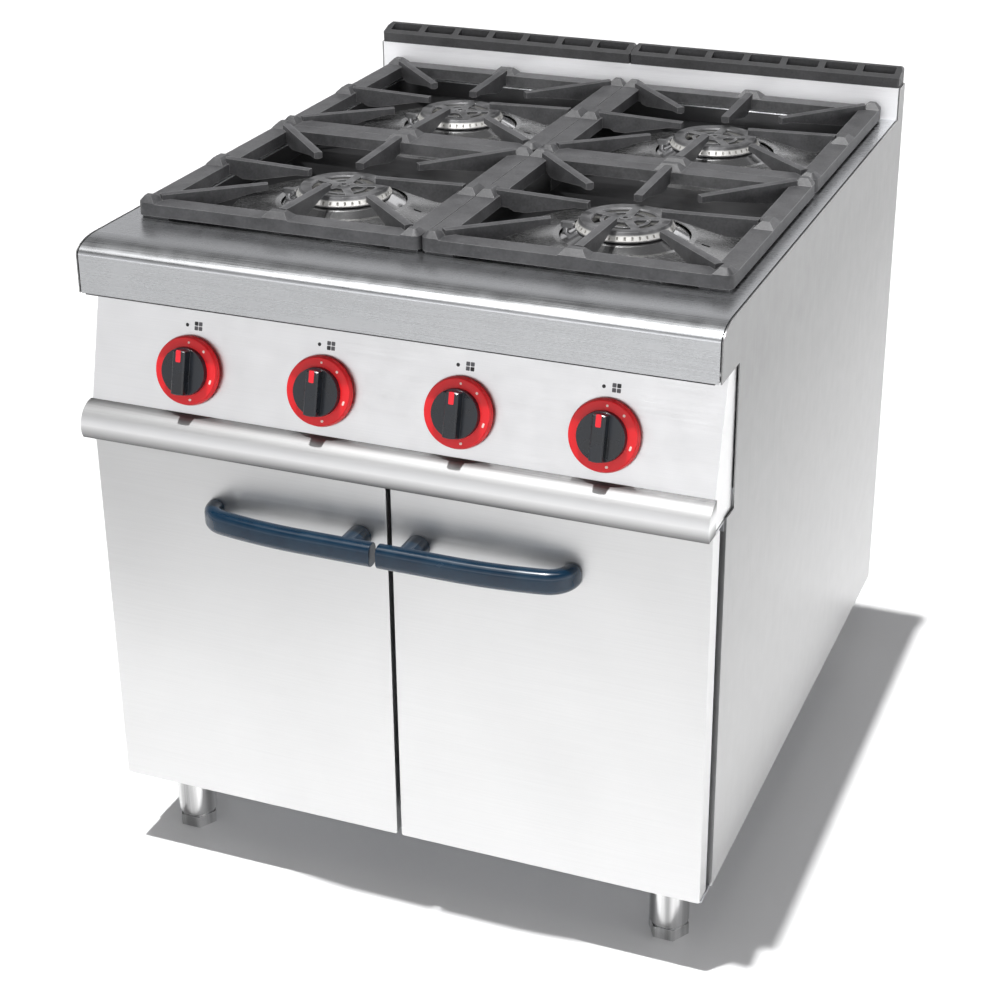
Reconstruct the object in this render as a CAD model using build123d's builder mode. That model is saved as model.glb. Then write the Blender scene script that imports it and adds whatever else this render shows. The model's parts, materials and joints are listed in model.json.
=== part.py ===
"""Commercial gas range: four open burners on a stainless hob over a closed two-door cabinet.

Frame: origin on the floor under the centre of the bounding box, +X to the user's right,
+Y to the rear, +Z up. Depths are counted from the front flange of the hob.
"""
from build123d import *
from math import atan2, cos, radians, sin
import os

os.makedirs("parts", exist_ok=True)

# ---------------------------------------------------------------- driving dimensions (mm)
body_width = 800.0
body_depth = 900.0
hob_height = 850.0
riser_height = 70.0
handle_reach = 50.0        # door handles in front of the hob flange
inlet_reach = 22.0         # gas inlet behind the back panel
sheet = 1.5                # stainless sheet

front = -(body_depth + handle_reach + inlet_reach) / 2 + handle_reach
rear = front + body_depth
half = body_width / 2
side_inner = half - sheet

# ---------------------------------------------------------------- hob
hob_half = half - 3.0      # leaves a shadow gap beside each side panel
flange_bottom = 786.0
bend_height = 17.0         # front edge rolls down over this height
bend_depth = 42.0
riser_front = front + 866.0
riser_top = 896.0
grille_lip = 910.0         # front edge of the grilles, which rise to the rear
well_half = 354.0
well_front = front + 126.0
well_rear = front + 842.0
well_floor = 824.0
well_corner = 24.0

# ---------------------------------------------------------------- cabinet
base = 105.0
floor_top = 131.5
ceiling = 608.0
cabinet_front = front + 42.0
panel_back = front + 70.0
frame_return = 22.0

# ---------------------------------------------------------------- control panel and front rail
panel_half = 397.0
panel_bottom = 607.0
panel_nose = 648.0
panel_top = 784.5
panel_setback = 37.5       # how far the panel leans back at its top
panel_tilt = atan2(panel_setback - 2.0, panel_top - panel_nose)
knob_height = 699.5
knob_pitch = 176.0
knob_depth = 2.0 + (knob_height - panel_nose) * (panel_setback - 2.0) / (panel_top - panel_nose)
knob_normal = (0, -cos(panel_tilt), sin(panel_tilt))
outward = Axis((0, 0, 0), knob_normal)
rail_radius = 28.5
rail_centre_height = 619.5

# ---------------------------------------------------------------- doors
door_thickness = 30.0
door_bottom = 106.0
door_top = 600.0
door_outer = 397.0
door_gap = 6.0
pivot_x = 388.0
pivot_depth = 16.0
handle_height = 525.0
handle_standoff = 39.0
handle_tall = 30.0
handle_thick = 22.0
post_x = 38.0
post_radius = 15.0
bow_end = 232.0            # where the bow meets the door
bow_screw = 230.0

# ---------------------------------------------------------------- burners and grates
grate_size = 377.0
grate_pitch = 378.0
grate_front = front + 106.0
burner_x = grate_pitch / 2
burner_rows = {"front": grate_front + grate_pitch / 2, "rear": grate_front + grate_pitch * 1.5}
sides = {"left": -1, "right": 1}
pad_height = 3.5
bar_width = 27.0
bar_slope = 7.0
bar_top = 869.0
ridge_top = 877.0
dip_start = 9.0            # the bars dip between the finger roots
dip_end = 173.0
dip_slope = 9.0
side_finger_tip = 46.0     # radius at which a finger from a side ends
corner_finger_tip = 100.0  # radius at which a finger from a corner ends
finger_tip_bottom = 863.5
finger_tip_top = 873.5
blade_bottom = 849.5       # the fingers hang into the well near their roots
finger_half = 5.5
finger_taper = 12
crown_seat = 846.0
crown_top = 858.0
crown_radius = 57.0
flange_radius = 61.0
body_radius = 52.0
throat_radius = 44.0
cup_radius = 80.0
pilot_offset = (-70.0, -20.0)
port_count = 40
# burner served by each knob, from left to right
served_zones = (("rear", "left"), ("front", "left"), ("front", "right"), ("rear", "right"))

# ---------------------------------------------------------------- legs
leg_radius = 25.4
leg_x = 338.0
leg_front = front + 72.0
leg_rear = front + 828.0
tube_bottom = 22.0
stud_radius = 8.0
running_clearance = 0.05

# ---------------------------------------------------------------- gas train
manifold_radius = 13.45
manifold_depth = 84.0      # behind the panel face, along the valve axis
inlet_radius = 10.48
inlet_pipe_radius = 9.0
inlet_thread = 20.0
inlet_x = 330.0
inlet_height = 668.0
pipe_radius = 4.0
spindle_radius = 5.0
knob_clearance = 5.0       # dial ring to panel, more than the push travel

zones = [(row, side) for row in burner_rows for side in sides]


def finish(builder, name):
    """Label a finished piece and write its STEP file."""
    builder.part.label = name
    export_step(builder.part, f"parts/{name}.step")


def zone_centre(row, side):
    """Plan position of the burner in one quarter of the hob."""
    return sides[side] * burner_x, burner_rows[row]


def panel_plane(x, distance=0.0):
    """Plane on the sloped control panel at a knob, facing out, moved out by a distance."""
    y = front + knob_depth + knob_normal[1] * distance
    z = knob_height + knob_normal[2] * distance
    return Plane(origin=(x, y, z), x_dir=(1, 0, 0), z_dir=knob_normal)


# ================================================================ hob top
def hob_profile(inset):
    """Outline of the rolled front edge, flat top and flange, moved inwards by a wall."""
    low = front + inset
    top = hob_height - inset
    centre = (front + bend_depth, hob_height - bend_height)
    Line((low, flange_bottom), (low, centre[1]))
    EllipticalCenterArc(centre, bend_depth - inset, bend_height - inset, 90, arc_size=90)
    Line((centre[0], top), (riser_front, top))


with BuildPart() as hob_top:
    with BuildSketch(Plane.YZ.offset(-hob_half)):
        with BuildLine():
            hob_profile(0)
            hob_profile(sheet)
            Line((front, flange_bottom), (front + sheet, flange_bottom))
            Line((riser_front, hob_height), (riser_front, hob_height - sheet))
        make_face()
    extrude(amount=2 * hob_half)
    with BuildSketch(Plane.XY.offset(flange_bottom)):
        with Locations((0, front + sheet + 9)):
            Rectangle(2 * hob_half, 18)
    extrude(amount=sheet)
    with BuildSketch(Plane.XY.offset(hob_height - 20)):
        for side in sides.values():
            with Locations((side * (hob_half - sheet / 2), (front + bend_depth + riser_front) / 2)):
                Rectangle(sheet, riser_front - front - bend_depth)
    extrude(amount=20 - sheet)
    well_centre = (0, (well_front + well_rear) / 2)
    well_length = well_rear - well_front
    with BuildSketch(Plane.XY.offset(hob_height)):
        with Locations(well_centre):
            RectangleRounded(2 * (well_half - sheet), well_length - 2 * sheet, well_corner - sheet)
    extrude(amount=-2 * sheet, mode=Mode.SUBTRACT)
finish(hob_top, "hob_top")

with BuildPart() as hob_well:
    with BuildSketch(Plane.XY.offset(well_floor)):
        with Locations(well_centre):
            RectangleRounded(2 * well_half, well_length, well_corner)
    extrude(amount=hob_height - sheet - well_floor)
    with BuildSketch(Plane.XY.offset(well_floor + sheet)):
        with Locations(well_centre):
            RectangleRounded(2 * (well_half - sheet), well_length - 2 * sheet, well_corner - sheet)
    extrude(amount=hob_height - well_floor, mode=Mode.SUBTRACT)
    with BuildSketch(Plane.XY.offset(well_floor)):
        with Locations(*[zone_centre(row, side) for row, side in zones]):
            Circle(cup_radius - 2)
    extrude(amount=sheet * 2, both=True, mode=Mode.SUBTRACT)
    # the inner pads of the four grates stand on a small bridge in the middle
    with BuildSketch(Plane.XY.offset(hob_height - sheet)):
        with Locations((0, grate_front + grate_pitch)):
            RectangleRounded(84, 56, 6)
    extrude(amount=sheet)
    with BuildSketch(Plane.XY.offset(well_floor + sheet / 2)):
        with Locations((0, grate_front + grate_pitch)):
            with GridLocations(60, 1, 2, 1):
                Rectangle(sheet, 50)
    extrude(amount=hob_height - well_floor - sheet)
finish(hob_well, "hob_well")


# ================================================================ side, back, floor and ceiling
def side_panel(name, side):
    """Side panel: one sheet from the floor frame to the riser, with a front and bottom return."""
    inner = side * side_inner
    with BuildPart() as panel:
        with BuildSketch(Plane.YZ.offset(min(inner, side * half))):
            with BuildLine():
                Line((front, flange_bottom), (front, hob_height - bend_height))
                EllipticalCenterArc(
                    (front + bend_depth, hob_height - bend_height), bend_depth, bend_height, 90, arc_size=90
                )
                Polyline(
                    (front + bend_depth, hob_height),
                    (riser_front, hob_height),
                    (riser_front, riser_top),
                    (rear, riser_top),
                    (rear, base),
                    (cabinet_front, base),
                    (cabinet_front, panel_bottom),
                    (panel_back, panel_bottom),
                    (panel_back, flange_bottom),
                    (front, flange_bottom),
                )
            make_face()
        extrude(amount=sheet)
        return_centre = inner - side * frame_return / 2
        with BuildSketch(Plane.XY.offset(base)):
            with Locations((return_centre, cabinet_front + sheet / 2)):
                Rectangle(frame_return, sheet)
        extrude(amount=panel_bottom - base)
        with BuildSketch(Plane.XY.offset(base)):
            with Locations((return_centre, (cabinet_front + rear) / 2)):
                Rectangle(frame_return, rear - cabinet_front - 2 * sheet)
        extrude(amount=sheet)
    finish(panel, name)


for name, side in sides.items():
    side_panel(f"side_panel_{name}", side)

with BuildPart() as back_panel:
    with BuildSketch(Plane.XZ.offset(-rear)):
        with Locations((0, (base + riser_top) / 2)):
            Rectangle(2 * side_inner, riser_top - base - 2 * sheet)
    extrude(amount=sheet)
    with BuildSketch(Plane.XZ.offset(-rear)):
        with Locations((inlet_x, inlet_height)):
            Circle(inlet_radius + 3)
        with Locations((0, 720), (0, 540)):
            with GridLocations(130, 22, 4, 4):
                SlotOverall(90, 8)
    extrude(amount=sheet * 3, both=True, mode=Mode.SUBTRACT)
finish(back_panel, "back_panel")

with BuildPart() as cabinet_floor:
    floor_half = side_inner - frame_return - 0.5
    with BuildSketch(Plane.YZ.offset(-floor_half)):
        with BuildLine():
            Polyline(
                (cabinet_front, base),
                (cabinet_front, floor_top),
                (rear - 2 * sheet, floor_top),
                (rear - 2 * sheet, floor_top + 15),
                (rear - sheet, floor_top + 15),
                (rear - sheet, floor_top - sheet),
                (cabinet_front + sheet, floor_top - sheet),
                (cabinet_front + sheet, base),
                close=True,
            )
        make_face()
    extrude(amount=2 * floor_half)
    with BuildSketch(Plane.XY.offset(floor_top - sheet)):
        with Locations((0, (cabinet_front + rear) / 2)):
            Rectangle(2 * side_inner, rear - cabinet_front - 4 * sheet)
    extrude(amount=sheet)
finish(cabinet_floor, "cabinet_floor")

with BuildPart() as heat_shield:
    with BuildSketch(Plane.YZ.offset(-side_inner)):
        with BuildLine():
            Polyline(
                (panel_back + 1, ceiling + 24),
                (panel_back + 1, ceiling - 20),
                (panel_back + 1 + sheet, ceiling - 20),
                (panel_back + 1 + sheet, ceiling),
                (rear - sheet, ceiling),
                (rear - sheet, ceiling + sheet),
                (panel_back + 1 + sheet, ceiling + sheet),
                (panel_back + 1 + sheet, ceiling + 24),
                close=True,
            )
        make_face()
    extrude(amount=2 * side_inner)
finish(heat_shield, "heat_shield")

# ================================================================ control panel, rail and riser
with BuildPart() as control_panel:
    with BuildSketch(Plane.YZ.offset(-panel_half)):
        with BuildLine():
            Polyline(
                (front + panel_setback, panel_top),
                (front + 2, panel_nose),
                (front + 2, panel_bottom),
                (panel_back - 0.5, panel_bottom),
                (panel_back - 0.5, panel_top),
                close=True,
            )
        make_face()
    extrude(amount=2 * panel_half)
    rear_face = control_panel.faces().sort_by(Axis.Y)[-1]
    offset(amount=-sheet, openings=rear_face)
    with BuildSketch(panel_plane(0)):
        with GridLocations(knob_pitch, 1, 4, 1):
            Circle(spindle_radius + 2)
    extrude(amount=sheet * 2, both=True, mode=Mode.SUBTRACT)
finish(control_panel, "control_panel")

with BuildPart() as front_rail:
    with BuildSketch(Plane.YZ.offset(-half + 1)):
        with BuildLine():
            rail_face = front + 1.8
            rail_low = panel_bottom - 1
            drop = rail_centre_height - rail_low
            foot = (rail_face - (rail_radius**2 - drop**2) ** 0.5, rail_low)
            crown_point = (rail_face - rail_radius * cos(radians(25)),
                           rail_centre_height + rail_radius * sin(radians(25)))
            ThreePointArc((rail_face, rail_centre_height + rail_radius), crown_point, foot)
            Polyline(foot, (rail_face, rail_low), (rail_face, rail_centre_height + rail_radius))
        make_face()
    extrude(amount=2 * (half - 1))
finish(front_rail, "front_rail")

with BuildPart() as flue_riser:
    duct_front = riser_front + sheet
    with BuildSketch(Plane.YZ.offset(-side_inner + 0.5)):
        with BuildLine():
            Polyline(
                (riser_front, hob_height - 14),
                (riser_front, riser_top),
                (rear - sheet, riser_top),
                (rear - sheet, riser_top - sheet),
                (duct_front, riser_top - sheet),
                (duct_front, hob_height - 14),
                close=True,
            )
        make_face()
    extrude(amount=2 * (side_inner - 0.5))
    with BuildSketch(Plane.XY.offset(riser_top)):
        for side in sides.values():
            with Locations((side * side_inner / 2, riser_front + 17.5)):
                Rectangle(370, 19)
    extrude(amount=-2 * sheet, mode=Mode.SUBTRACT)
finish(flue_riser, "flue_riser")


def flue_grille(name, side):
    """Cast grille on one half of the riser: seven slots between ribs and a lug below."""
    long = side_inner - 1.0
    centre = (side * (long / 2 + 0.5), riser_front + 16.5)
    with BuildPart() as grille:
        with BuildSketch(Plane.XY.offset(riser_top)):
            with Locations(centre):
                RectangleRounded(long, 35, 3)
        extrude(amount=hob_height + riser_height - riser_top)
        chamfer(grille.faces().sort_by(Axis.Z)[-1].edges(), length=3)
        with BuildSketch(Plane.YZ.offset(centre[0] - long / 2 - 1)):
            with BuildLine():
                Polyline(
                    (riser_front - 2, grille_lip - 0.4),
                    (riser_front + 27, hob_height + riser_height),
                    (riser_front + 27, hob_height + riser_height + 1),
                    (riser_front - 2, hob_height + riser_height + 1),
                    close=True,
                )
            make_face()
        extrude(amount=long + 2, mode=Mode.SUBTRACT)
        with BuildSketch(Plane.XY.offset(riser_top)):
            with Locations(centre):
                with GridLocations(long / 7.15, 1, 7, 1):
                    RectangleRounded(46, 17, 2)
        extrude(amount=30, mode=Mode.SUBTRACT)
        with BuildSketch(Plane.XY.offset(riser_top)):
            with Locations(centre):
                with GridLocations(long / 7.15 * 5, 1, 2, 1):
                    Rectangle(9, 17)
        extrude(amount=-8)
    finish(grille, name)


for name, side in sides.items():
    flue_grille(f"flue_grille_{name}", side)


# ================================================================ burners
def spill_dish(name, centre):
    """Shallow pressed dish round a burner, standing on the well floor."""
    with BuildPart() as dish:
        with BuildSketch(Plane.XZ.offset(-centre[1])):
            with BuildLine():
                Polyline(
                    (centre[0] + 146, well_floor + sheet),
                    (centre[0] + 88, well_floor + sheet + 12),
                    (centre[0] + cup_radius + 0.6, well_floor + sheet + 12),
                    (centre[0] + cup_radius + 0.6, well_floor + sheet + 10.6),
                    (centre[0] + 87.6, well_floor + sheet + 10.6),
                    (centre[0] + 139, well_floor + sheet),
                    close=True,
                )
            make_face()
        revolve(axis=Axis((centre[0], centre[1], 0), (0, 0, 1)))
        with BuildSketch(Plane.XY.offset(well_floor)):
            with Locations((centre[0] + 102, centre[1])):
                SlotOverall(11, 4)
        extrude(amount=20, mode=Mode.SUBTRACT)
    finish(dish, name)


def burner_body(name, centre, row):
    """Cast burner: cup with an annular throat and a mixing tube running to the front."""
    tube_axis = 796.0
    tube_end = centre[1] - (165 if row == "front" else 215)
    with BuildPart() as body:
        with BuildSketch(Plane.XY.offset(776)):
            with Locations(centre):
                Circle(body_radius)
        extrude(amount=crown_seat - 776)
        with BuildSketch(Plane.XZ.offset(-centre[1])):
            with Locations((centre[0], tube_axis)):
                Circle(18)
        extrude(amount=centre[1] - tube_end)
        with BuildSketch(Plane.XZ.offset(-tube_end - 26)):
            with Locations((centre[0], tube_axis)):
                Circle(18)
        with BuildSketch(Plane.XZ.offset(-tube_end)):
            with Locations((centre[0], tube_axis)):
                Circle(25)
        loft()
        with BuildSketch(Plane.XY.offset(784)):
            with Locations(centre):
                Circle(throat_radius)
        extrude(amount=crown_seat - 784, mode=Mode.SUBTRACT)
        with BuildSketch(Plane.XZ.offset(-centre[1])):
            with Locations((centre[0], tube_axis)):
                Circle(12)
        extrude(amount=centre[1] - tube_end, mode=Mode.SUBTRACT)
    finish(body, name)


def burner_crown(name, centre):
    """Loose burner crown: ported flange, top ring, five spokes and a hub over the throat."""
    with BuildPart() as crown:
        with BuildSketch(Plane.XZ.offset(-centre[1])):
            with BuildLine():
                Polyline(
                    (centre[0] + 40.5, crown_seat - 8),
                    (centre[0] + throat_radius - 0.5, crown_seat - 8),
                    (centre[0] + throat_radius - 0.5, crown_seat),
                    (centre[0] + flange_radius, crown_seat),
                    (centre[0] + flange_radius, crown_seat + 1.5),
                    (centre[0] + crown_radius, crown_seat + 8),
                    (centre[0] + crown_radius - 2, crown_top - 0.5),
                    (centre[0] + crown_radius - 4, crown_top),
                    (centre[0] + 42, crown_top - 1),
                    (centre[0] + 40.5, crown_top - 3),
                    close=True,
                )
            make_face()
        revolve(axis=Axis((centre[0], centre[1], 0), (0, 0, 1)))
        with BuildSketch(Plane.XY.offset(crown_top - 7)):
            with Locations(centre):
                with PolarLocations(27, 5, start_angle=90):
                    Rectangle(30, 11)
                Circle(15)
        extrude(amount=6)
        with BuildSketch(Plane.XY.offset(crown_top - 7)):
            with Locations(centre):
                Circle(31)
                Circle(26, mode=Mode.SUBTRACT)
        extrude(amount=4.5)
        with BuildSketch(Plane.XY.offset(crown_top - 7)):
            with Locations(centre):
                Circle(8)
        extrude(amount=7.5)
        with BuildSketch(Plane.XY.offset(crown_top - 7)):
            with Locations(centre):
                Circle(3.5)
        extrude(amount=8, mode=Mode.SUBTRACT)
        with BuildSketch(Plane.XY.offset(crown_seat + 2.2)):
            with Locations(centre):
                with PolarLocations(flange_radius, port_count):
                    Rectangle(9, 2.6)
        extrude(amount=4.2, mode=Mode.SUBTRACT)
    finish(crown, name)


for row, side in zones:
    centre = zone_centre(row, side)
    spill_dish(f"spill_dish_{row}_{side}", centre)
    burner_body(f"burner_body_{row}_{side}", centre, row)
    burner_crown(f"burner_crown_{row}_{side}", centre)

with BuildPart() as burner_cups:
    for row, side in zones:
        x, y = zone_centre(row, side)
        with BuildSketch(Plane.XZ.offset(-y)):
            with BuildLine():
                Polyline(
                    (x + body_radius + 0.4, crown_seat - 5),
                    (x + 59, crown_seat - 2),
                    (x + 62, crown_seat - 3.5),
                    (x + cup_radius, well_floor + 10),
                    (x + cup_radius, well_floor + 4),
                    (x + cup_radius - sheet, well_floor + 4),
                    (x + cup_radius - sheet, well_floor + 9.5),
                    (x + 61, crown_seat - 5),
                    (x + 59, crown_seat - 3.5),
                    (x + body_radius + 0.4, crown_seat - 6.5),
                    close=True,
                )
            make_face()
        revolve(axis=Axis((x, y, 0), (0, 0, 1)))
    with BuildSketch(Plane.XY.offset(well_floor)):
        for row, side in zones:
            x, y = zone_centre(row, side)
            with Locations((x + pilot_offset[0], y + pilot_offset[1])):
                Circle(3.6)
    extrude(amount=40, mode=Mode.SUBTRACT)
finish(burner_cups, "burner_cups")

with BuildPart() as pilot_burners:
    for row, side in zones:
        x, y = zone_centre(row, side)
        pilot = (x + pilot_offset[0], y + pilot_offset[1])
        with BuildSketch(Plane.XY.offset(806)):
            with Locations(pilot):
                Circle(3.2)
        extrude(amount=42)
        with BuildSketch(Plane.XY.offset(845)):
            with Locations((pilot[0] + 3, pilot[1])):
                SlotOverall(18, 8)
        extrude(amount=6)
finish(pilot_burners, "pilot_burners")


# ================================================================ grates
def finger_plane(centre, angle):
    """Upright plane along a finger: X outwards from the burner, Y up."""
    direction = (cos(radians(angle)), sin(radians(angle)), 0)
    return Plane(origin=(centre[0], centre[1], 0), x_dir=direction, z_dir=(direction[1], -direction[0], 0))


def grate(name, centre):
    """Cast pan support: square frame on four pads, dipped between eight fingers."""
    inner_size = grate_size - 2 * bar_width
    bar_bottom = hob_height + pad_height
    with BuildPart() as support:
        with BuildSketch(Plane.XY.offset(bar_bottom)):
            with Locations(centre):
                RectangleRounded(grate_size, grate_size, 10)
        extrude(amount=ridge_top - bar_bottom)
        chamfer(support.faces().sort_by(Axis.Z)[-1].edges(), length=bar_slope)
        with BuildSketch(Plane.XY.offset(bar_bottom)):
            with Locations(centre):
                RectangleRounded(inner_size, inner_size, 8)
        extrude(amount=30, mode=Mode.SUBTRACT)
        chamfer(
            support.faces().sort_by(Axis.Z)[-1].inner_wires()[0].edges(), length=5
        )
        for across in (Plane.YZ, Plane.XZ):
            shift = centre[0] if across == Plane.YZ else -centre[1]
            along = centre[1] if across == Plane.YZ else centre[0]
            with BuildSketch(across.offset(shift)):
                for side in (-1, 1):
                    with BuildLine():
                        Polyline(
                            (along + side * dip_start, ridge_top + 1),
                            (along + side * (dip_start + dip_slope), bar_top),
                            (along + side * (dip_end - dip_slope), bar_top),
                            (along + side * dip_end, ridge_top + 1),
                            close=True,
                        )
                    make_face()
            extrude(amount=grate_size / 2 + 1, both=True, mode=Mode.SUBTRACT)
        for index in range(8):
            corner = index % 2
            reach = (inner_size / 2 + 6) * (2**0.5 if corner else 1)
            tip = corner_finger_tip if corner else side_finger_tip
            with BuildSketch(finger_plane(centre, index * 45)):
                with BuildLine():
                    Polyline(
                        (tip, finger_tip_bottom),
                        (tip, finger_tip_top),
                        (reach, ridge_top),
                        (reach, bar_bottom),
                        (reach - 16, bar_bottom),
                        (reach - 24, blade_bottom),
                        (reach - 40, blade_bottom),
                        (tip + 18, finger_tip_bottom - 0.5),
                        close=True,
                    )
                make_face()
            extrude(amount=finger_half, both=True, taper=finger_taper)
        with BuildSketch(Plane.XY.offset(hob_height)):
            with Locations(centre):
                with GridLocations(grate_size - 44, grate_size - 30, 2, 2):
                    Rectangle(36, 20)
        extrude(amount=pad_height + 6)
    finish(support, name)


for row, side in zones:
    grate(f"grate_{row}_{side}", zone_centre(row, side))

# ================================================================ legs and feet
leg_places = [(x, y) for y in (leg_front, leg_rear) for x in (-leg_x, leg_x)]

with BuildPart() as leg_tubes:
    with BuildSketch(Plane.XY.offset(tube_bottom)):
        with Locations(*leg_places):
            Circle(leg_radius)
            Circle(leg_radius - sheet, mode=Mode.SUBTRACT)
    extrude(amount=floor_top - sheet - 3 - tube_bottom)
    with BuildSketch(Plane.XY.offset(tube_bottom)):
        with Locations(*leg_places):
            Circle(leg_radius - sheet)
            Circle(stud_radius + running_clearance, mode=Mode.SUBTRACT)
    extrude(amount=24)
    with BuildSketch(Plane.XY.offset(floor_top - sheet - 3)):
        with Locations(*leg_places):
            RectangleRounded(74, 56, 6)
    extrude(amount=3)
finish(leg_tubes, "leg_tubes")


def foot(name, place):
    """Screw-in levelling foot: hexagon, collar and stud."""
    with BuildPart() as piece:
        with BuildSketch(Plane.XY):
            with Locations(place):
                RegularPolygon(23, 6, major_radius=False)
        extrude(amount=18)
        chamfer(piece.faces().sort_by(Axis.Z)[0].edges(), length=2)
        with BuildSketch(Plane.XY.offset(18)):
            with Locations(place):
                Circle(22)
        extrude(amount=2.5)
        with BuildSketch(Plane.XY.offset(20)):
            with Locations(place):
                Circle(stud_radius)
        extrude(amount=68)
        fillet(piece.faces().sort_by(Axis.Z)[-1].edges(), radius=1.5)
    finish(piece, name)


for name, place in zip(("front_left", "front_right", "rear_left", "rear_right"), leg_places):
    foot(f"foot_{name}", place)

# ================================================================ gas train
knob_xs = [knob_pitch * (index - 1.5) for index in range(4)]
manifold_y = front + knob_depth - knob_normal[1] * manifold_depth
manifold_z = knob_height - knob_normal[2] * manifold_depth
outlet_y = panel_back + 4.5

with BuildPart() as gas_manifold:
    with BuildSketch(Plane.YZ.offset(-inlet_x)):
        with Locations((manifold_y, manifold_z)):
            Circle(manifold_radius)
    extrude(amount=2 * inlet_x + manifold_radius)
    with BuildSketch(Plane.XZ.offset(-manifold_y)):
        with Locations((inlet_x, inlet_height)):
            Circle(inlet_pipe_radius)
    extrude(amount=-(rear + inlet_reach - inlet_thread / 2 - manifold_y))
    with BuildSketch(Plane.XZ.offset(-(rear + inlet_reach))):
        with Locations((inlet_x, inlet_height)):
            Circle(inlet_radius)
    extrude(amount=inlet_thread)
    with BuildSketch(Plane.YZ.offset(inlet_x)):
        with Locations((manifold_y, inlet_height + 5)):
            Circle(manifold_radius)
    extrude(amount=manifold_radius, both=True)
finish(gas_manifold, "gas_manifold")

with BuildPart() as gas_valves:
    for x in knob_xs:
        with BuildSketch(panel_plane(x, -28)):
            Circle(15)
        extrude(amount=-38)
        with BuildSketch(panel_plane(x, -66)):
            Circle(8)
        extrude(amount=-(manifold_depth - 66 - manifold_radius))
        with BuildSketch(Plane.XY.offset(knob_height - 8)):
            with Locations((x, outlet_y)):
                Circle(7)
        extrude(amount=40)
        with BuildSketch(panel_plane(x, -60)):
            Circle(spindle_radius + running_clearance)
        extrude(amount=33, mode=Mode.SUBTRACT)
finish(gas_valves, "gas_valves")


def spindle(name, x):
    """Valve spindle with a flat for the knob."""
    with BuildPart() as shaft:
        with BuildSketch(panel_plane(x, -59)):
            Circle(spindle_radius)
        extrude(amount=79)
        with BuildSketch(panel_plane(x)):
            with Locations((0, spindle_radius)):
                Rectangle(20, 3)
        extrude(amount=30, mode=Mode.SUBTRACT)
        with BuildSketch(panel_plane(x, -24)):
            Circle(spindle_radius + 1.5)
        extrude(amount=4)
    finish(shaft, name)


def dial_ring(name, x):
    """Sloped dial ring behind the knob."""
    with BuildPart() as ring:
        with BuildSketch(panel_plane(x, knob_clearance)):
            Circle(42.5)
        extrude(amount=7, taper=16)
        fillet(ring.faces().sort_by(outward)[-1].edges(), radius=1.5)
        with BuildSketch(panel_plane(x, knob_clearance)):
            Circle(18)
        extrude(amount=8, mode=Mode.SUBTRACT)
    finish(ring, name)


def knob(name, x):
    """Round knob with an upright grip blade and a D bore for the spindle."""
    seat = knob_clearance + 7
    with BuildPart() as piece:
        with BuildSketch(panel_plane(x, seat)):
            Circle(29.5)
        extrude(amount=7, taper=6)
        with BuildSketch(panel_plane(x, seat + 6)):
            Circle(28)
            RectangleRounded(18, 70, 2, mode=Mode.INTERSECT)
        extrude(amount=13, taper=4)
        chamfer(piece.faces().sort_by(outward)[-1].edges(), length=1.5)
        with BuildSketch(panel_plane(x, knob_clearance + 1)):
            Circle(17.8)
        extrude(amount=7)
        with BuildSketch(panel_plane(x, knob_clearance)):
            Circle(spindle_radius + running_clearance)
            with Locations((0, spindle_radius)):
                Rectangle(20, 2.9, mode=Mode.SUBTRACT)
        extrude(amount=22, mode=Mode.SUBTRACT)
    finish(piece, name)


for index, x in enumerate(knob_xs, start=1):
    spindle(f"valve_spindle_{index}", x)
    dial_ring(f"dial_ring_{index}", x)
    knob(f"knob_{index}", x)

with BuildPart() as supply_pipes:
    for x, (row, side) in zip(knob_xs, served_zones):
        centre = zone_centre(row, side)
        injector_y = centre[1] - (165 if row == "front" else 215) - 8
        start = (x, outlet_y, knob_height + 32)
        with BuildLine():
            FilletPolyline(
                start,
                (x, start[1], 796),
                (x, injector_y - 40, 796),
                (centre[0], injector_y - 20, 796),
                (centre[0], injector_y, 796),
                radius=7,
            )
        with BuildSketch(Plane(origin=start, z_dir=(0, 0, 1))):
            Circle(pipe_radius)
        sweep()
        with BuildSketch(Plane.XZ.offset(-injector_y)):
            with Locations((centre[0], 796)):
                RegularPolygon(8, 6)
        extrude(amount=-14)
finish(supply_pipes, "supply_pipes")


# ================================================================ doors
def door_outline(side, inset):
    """Centre, width and height of a door, drawn in by an inset all round."""
    inner_edge = door_gap / 2 + inset
    outer_edge = door_outer - inset
    centre = (side * (inner_edge + outer_edge) / 2, (door_bottom + door_top) / 2)
    return centre, outer_edge - inner_edge, door_top - door_bottom - 2 * inset


def door_skin(name, side):
    """Front skin: flat face with its four edges folded back."""
    centre, wide, tall = door_outline(side, 0)
    with BuildPart() as skin:
        with BuildSketch(Plane.XZ.offset(-front)):
            with Locations(centre):
                RectangleRounded(wide, tall, 3)
        extrude(amount=-(door_thickness - 4))
        fillet(skin.faces().sort_by(Axis.Y)[0].edges(), radius=1.2)
        with BuildSketch(Plane.XZ.offset(-(front + sheet))):
            with Locations(centre):
                Rectangle(wide - 2 * sheet, tall - 2 * sheet)
        extrude(amount=-door_thickness, mode=Mode.SUBTRACT)
        with BuildSketch(Plane.XY.offset(door_bottom - 1)):
            with Locations((side * pivot_x, front + pivot_depth)):
                Circle(5.3)
        extrude(amount=tall + 2, mode=Mode.SUBTRACT)
        with BuildSketch(Plane.XZ.offset(-front)):
            with Locations((side * post_x, handle_height), (side * bow_screw, handle_height)):
                Circle(2.7)
        extrude(amount=-3, mode=Mode.SUBTRACT)
    finish(skin, name)


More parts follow.
